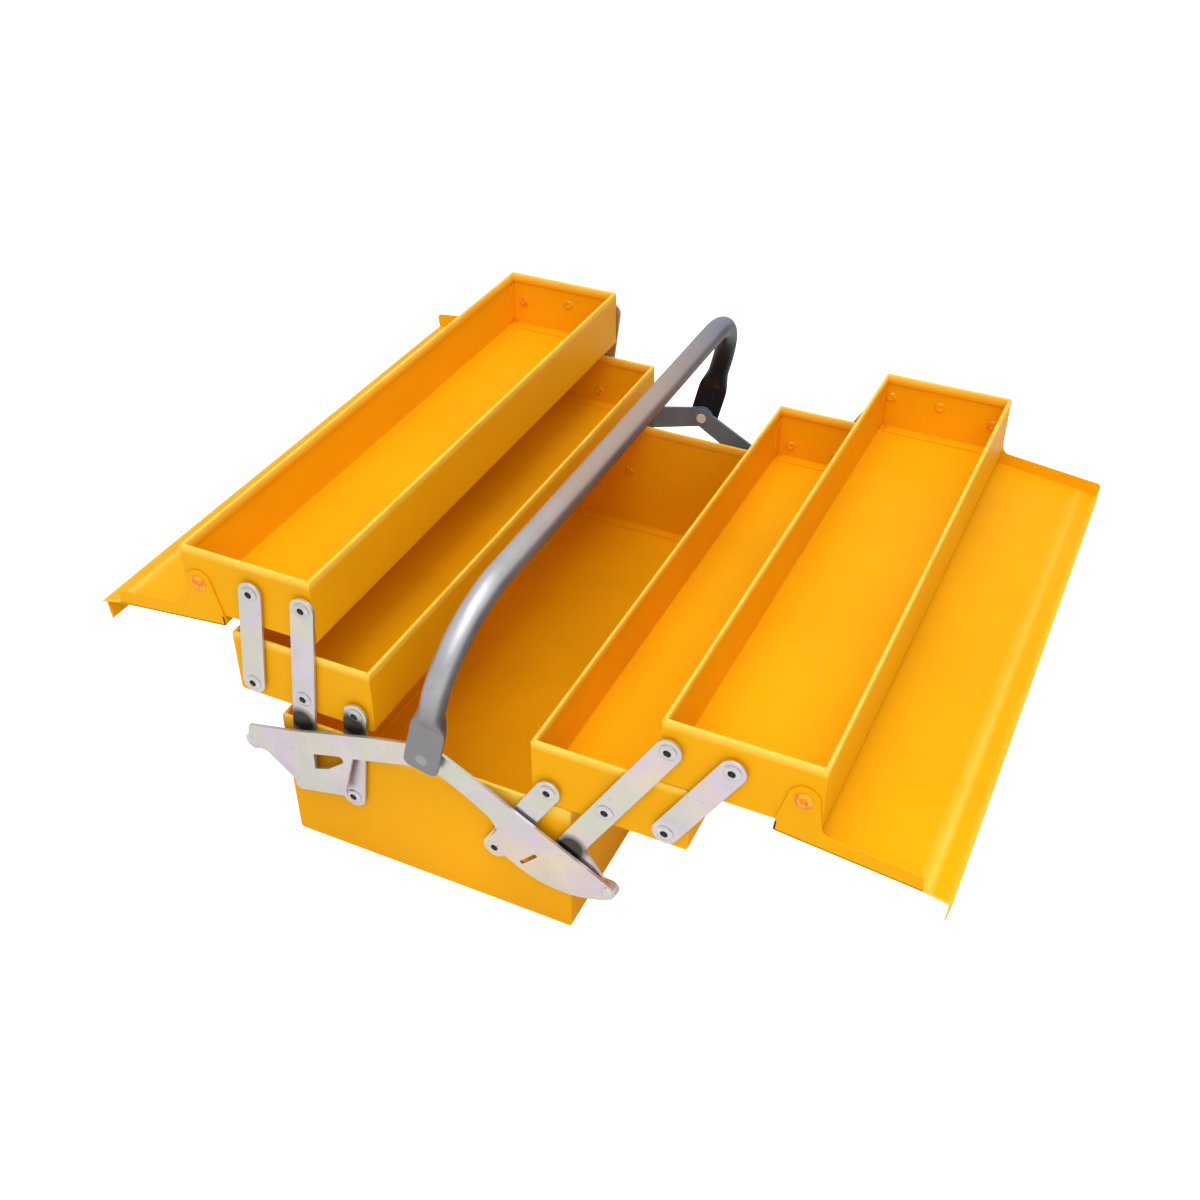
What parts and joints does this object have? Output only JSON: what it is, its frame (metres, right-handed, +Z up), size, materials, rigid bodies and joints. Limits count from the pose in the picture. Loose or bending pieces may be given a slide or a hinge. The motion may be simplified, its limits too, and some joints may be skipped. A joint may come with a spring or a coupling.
{
  "type": "cantilever tool box",
  "caption": "Sheet-steel tool box whose trays and hinged lids spread to both sides on parallel links, carried by one tubular handle on toggle plates.",
  "frame": {"origin": "middle of the bottom box's underside", "axes": "+X across the box towards the right-hand trays, +Y along the box towards its far end wall, +Z up"},
  "size_m": [0.5485, 0.459, 0.2263],
  "materials": {
    "paint": "semi-gloss powder coat",
    "zinc_plate": "bright zinc plate",
    "dark_plate": "dull steel plate",
    "handle_tube": "satin plated tube",
    "rivet_steel": "plated steel"
  },
  "bodies": {
    "box": {"box_trough": "paint", "box_end_near": "paint", "box_end_far": "paint", "box_rivets": "rivet_steel", "box_washers": "rivet_steel"},
    "long_arms_right": {"long_arm_right_near": "zinc_plate", "long_arm_right_far": "zinc_plate", "crank_pins_right": "rivet_steel"},
    "inner_links_right": {"inner_link_right_near": "zinc_plate", "inner_link_right_far": "zinc_plate"},
    "outer_links_right": {"outer_link_right_near": "zinc_plate", "outer_link_right_far": "zinc_plate"},
    "lower_tray_right": {"lower_tray_right": "paint", "lower_end_right_near": "paint", "lower_end_right_far": "paint", "lower_rivets_right": "rivet_steel", "lower_washers_right": "rivet_steel"},
    "upper_tray_right": {"upper_tray_right": "paint", "upper_end_right_near": "paint", "upper_end_right_far": "paint", "upper_rivets_right": "rivet_steel", "upper_washers_right": "rivet_steel"},
    "lid_right": {"lid_right": "paint"},
    "long_arms_left": {"long_arm_left_near": "zinc_plate", "long_arm_left_far": "zinc_plate"},
    "inner_links_left": {"inner_link_left_near": "zinc_plate", "inner_link_left_far": "zinc_plate"},
    "outer_links_left": {"outer_link_left_near": "zinc_plate", "outer_link_left_far": "zinc_plate"},
    "lower_tray_left": {"lower_tray_left": "paint", "lower_end_left_near": "paint", "lower_end_left_far": "paint", "lower_rivets_left": "rivet_steel", "lower_washers_left": "rivet_steel"},
    "upper_tray_left": {"upper_tray_left": "paint", "upper_end_left_near": "paint", "upper_end_left_far": "paint", "upper_rivets_left": "rivet_steel", "upper_washers_left": "rivet_steel"},
    "lid_left": {"lid_left": "paint"},
    "toggles_right": {"toggle_right_near": "zinc_plate", "toggle_right_far": "dark_plate"},
    "handle": {"handle": "handle_tube", "handle_pins": "rivet_steel"},
    "toggles_left": {"toggle_left_near": "zinc_plate", "toggle_left_far": "dark_plate", "toggle_pins_left": "rivet_steel"}
  },
  "joints": [
    {"name": "right_fold", "type": "hinge", "parent": "box", "child": "long_arms_right", "pos_m": [0.087, 0, 0.052], "axis": [0, 1, 0], "range_deg": [-62, 0]},
    {"name": "right_inner_link_swing", "type": "hinge", "parent": "box", "child": "inner_links_right", "pos_m": [0.0504, 0, 0.052], "axis": [0, 1, 0], "range_deg": [-62, 0]},
    {"name": "right_lower_tray_level", "type": "hinge", "parent": "long_arms_right", "child": "lower_tray_right", "pos_m": [0.12359, 0, 0.1129], "axis": [0, 1, 0], "range_deg": [0, 62]},
    {"name": "right_upper_tray_level", "type": "hinge", "parent": "long_arms_right", "child": "upper_tray_right", "pos_m": [0.16019, 0, 0.17381], "axis": [0, 1, 0], "range_deg": [0, 62]},
    {"name": "right_outer_link_swing", "type": "hinge", "parent": "lower_tray_right", "child": "outer_links_right", "pos_m": [0.16019, 0, 0.1129], "axis": [0, 1, 0], "range_deg": [-62, 0]},
    {"name": "right_lid_turn", "type": "hinge", "parent": "upper_tray_right", "child": "lid_right", "pos_m": [0.23579, 0, 0.16821], "axis": [0, 1, 0], "range_deg": [-186.51, 0]},
    {"name": "left_fold", "type": "hinge", "parent": "box", "child": "long_arms_left", "pos_m": [-0.087, 0, 0.052], "axis": [0, -1, 0], "range_deg": [-24, 0]},
    {"name": "left_inner_link_swing", "type": "hinge", "parent": "box", "child": "inner_links_left", "pos_m": [-0.0504, 0, 0.052], "axis": [0, -1, 0], "range_deg": [-24, 0]},
    {"name": "left_lower_tray_level", "type": "hinge", "parent": "long_arms_left", "child": "lower_tray_left", "pos_m": [-0.07834, 0, 0.12252], "axis": [0, -1, 0], "range_deg": [0, 24]},
    {"name": "left_upper_tray_level", "type": "hinge", "parent": "long_arms_left", "child": "upper_tray_left", "pos_m": [-0.06968, 0, 0.19304], "axis": [0, -1, 0], "range_deg": [0, 24]},
    {"name": "left_outer_link_swing", "type": "hinge", "parent": "lower_tray_left", "child": "outer_links_left", "pos_m": [-0.11494, 0, 0.12252], "axis": [0, -1, 0], "range_deg": [-24, 0]},
    {"name": "left_lid_turn", "type": "hinge", "parent": "upper_tray_left", "child": "lid_left", "pos_m": [-0.14528, 0, 0.18744], "axis": [0, -1, 0], "range_deg": [-186.51, 0]},
    {"name": "right_toggle_swing", "type": "hinge", "parent": "long_arms_right", "child": "toggles_right", "pos_m": [0.12699, 0, 0.0513], "axis": [0, 1, 0], "range_deg": [0, 70.97]},
    {"name": "handle_swing", "type": "hinge", "parent": "toggles_right", "child": "handle", "pos_m": [0.00921, 0, 0.11521], "axis": [0, 1, 0], "range_deg": [-22.47, 0]},
    {"name": "left_toggle_swing", "type": "hinge", "parent": "handle", "child": "toggles_left", "pos_m": [0.00921, 0, 0.11521], "axis": [0, 1, 0], "range_deg": [-6.97, 0]}
  ],
  "couplings": [
    {"joint": "right_inner_link_swing", "follows": "right_fold", "ratio": 1},
    {"joint": "right_lower_tray_level", "follows": "right_fold", "ratio": -1},
    {"joint": "right_upper_tray_level", "follows": "right_fold", "ratio": -1},
    {"joint": "right_outer_link_swing", "follows": "right_fold", "ratio": 1},
    {"joint": "right_lid_turn", "follows": "right_fold", "ratio": 3.0081},
    {"joint": "left_inner_link_swing", "follows": "left_fold", "ratio": 1},
    {"joint": "left_lower_tray_level", "follows": "left_fold", "ratio": -1},
    {"joint": "left_upper_tray_level", "follows": "left_fold", "ratio": -1},
    {"joint": "left_outer_link_swing", "follows": "left_fold", "ratio": 1},
    {"joint": "left_lid_turn", "follows": "left_fold", "ratio": 7.7708},
    {"joint": "right_toggle_swing", "follows": "right_fold", "ratio": -1.1445},
    {"joint": "handle_swing", "follows": "right_fold", "ratio": 0.36224},
    {"joint": "left_toggle_swing", "follows": "right_fold", "ratio": 0.11228}
  ]
}
